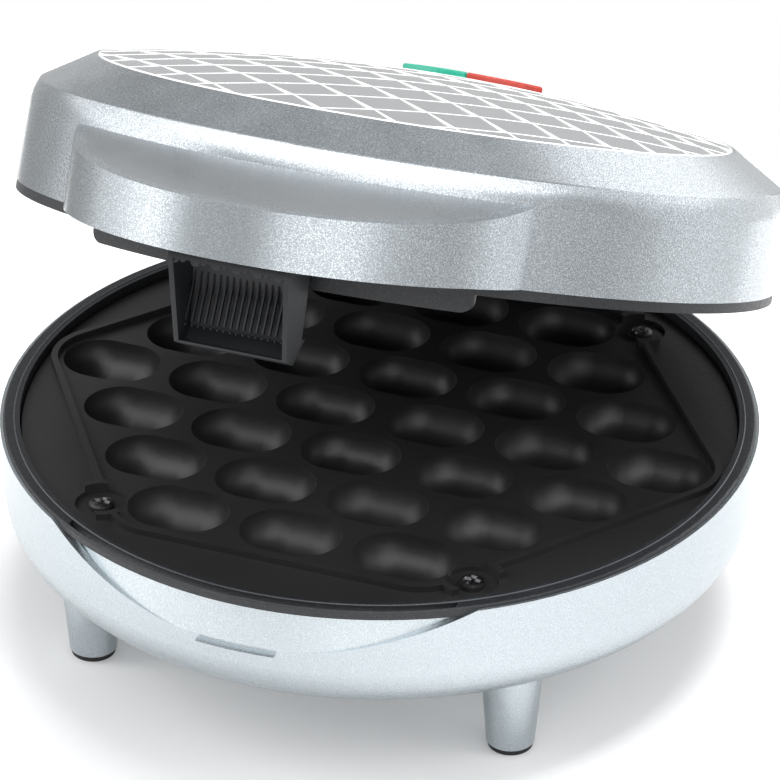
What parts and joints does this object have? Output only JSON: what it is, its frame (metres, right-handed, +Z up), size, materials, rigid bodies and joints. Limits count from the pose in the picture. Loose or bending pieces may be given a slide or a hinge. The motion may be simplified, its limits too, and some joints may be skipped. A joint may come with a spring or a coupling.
{
  "type": "bubble waffle maker",
  "caption": "Round hinged bubble waffle maker with oval-cavity hot plates, front handle, hanging latch, twin lamps and tapered legs.",
  "frame": {"origin": "centre of the bounding box on the surface it stands on, with the lid open as pictured", "axes": "+Z up, -Y towards the handle and the user, +X to the user's right"},
  "size_m": [0.23, 0.2578, 0.1933],
  "materials": {
    "silver_paint": "metallic satin",
    "black_trim": "satin",
    "rubber_pad": "matte",
    "panel_grey": "satin",
    "latch_charcoal": "satin",
    "green_lens": "gloss",
    "red_lens": "gloss",
    "non_stick": "satin",
    "bulb_glass": "gloss",
    "black_plastic": "satin",
    "ceramic": "satin",
    "bright_sheet": "polished",
    "wire_sleeve": "matte",
    "control_steel": "satin",
    "dark_screw": "satin",
    "element_sheath": "matte",
    "steel": "satin"
  },
  "bodies": {
    "base": {"base_bezel": "black_trim", "base_shell": "silver_paint", "base_wiring": "wire_sleeve", "cord_gland": "black_plastic", "front_left_foot_pad": "rubber_pad", "front_right_foot_pad": "rubber_pad", "hinge_harness": "wire_sleeve", "hinge_pins": "steel", "lower_clamp_screws": "steel", "lower_element_clamps": "steel", "lower_heating_element": "element_sheath", "lower_plate": "non_stick", "lower_plate_screws": "dark_screw", "lower_reflector": "bright_sheet", "lower_reflector_screws": "steel", "lower_thermal_fuse": "control_steel", "lower_thermostat": "control_steel", "rear_left_foot_pad": "rubber_pad", "rear_right_foot_pad": "rubber_pad", "terminal_block": "ceramic"},
    "lid": {"green_indicator_bulb": "bulb_glass", "green_lamp_lens": "green_lens", "handle_cover": "black_trim", "lamp_holder": "black_plastic", "latch_pin": "steel", "lid_harness": "wire_sleeve", "lid_liner": "black_trim", "lid_shell": "silver_paint", "lid_top_panel": "panel_grey", "lid_wiring": "wire_sleeve", "red_indicator_bulb": "bulb_glass", "red_lamp_lens": "red_lens", "upper_clamp_screws": "steel", "upper_element_clamps": "steel", "upper_heating_element": "element_sheath", "upper_plate": "non_stick", "upper_plate_screws": "dark_screw", "upper_reflector": "bright_sheet", "upper_reflector_screws": "steel", "upper_thermal_fuse": "control_steel", "upper_thermostat": "control_steel"},
    "latch": {"latch": "latch_charcoal"}
  },
  "joints": [
    {"name": "lid_hinge", "type": "hinge", "parent": "base", "child": "lid", "pos_m": [0, 0.11786, 0.0632], "axis": [-1, 0, 0], "range_deg": [-24, 80]},
    {"name": "latch_pivot", "type": "hinge", "parent": "lid", "child": "latch", "pos_m": [0, -0.10779, 0.17571], "axis": [-1, 0, 0], "range_deg": [-3.5, 12]}
  ]
}
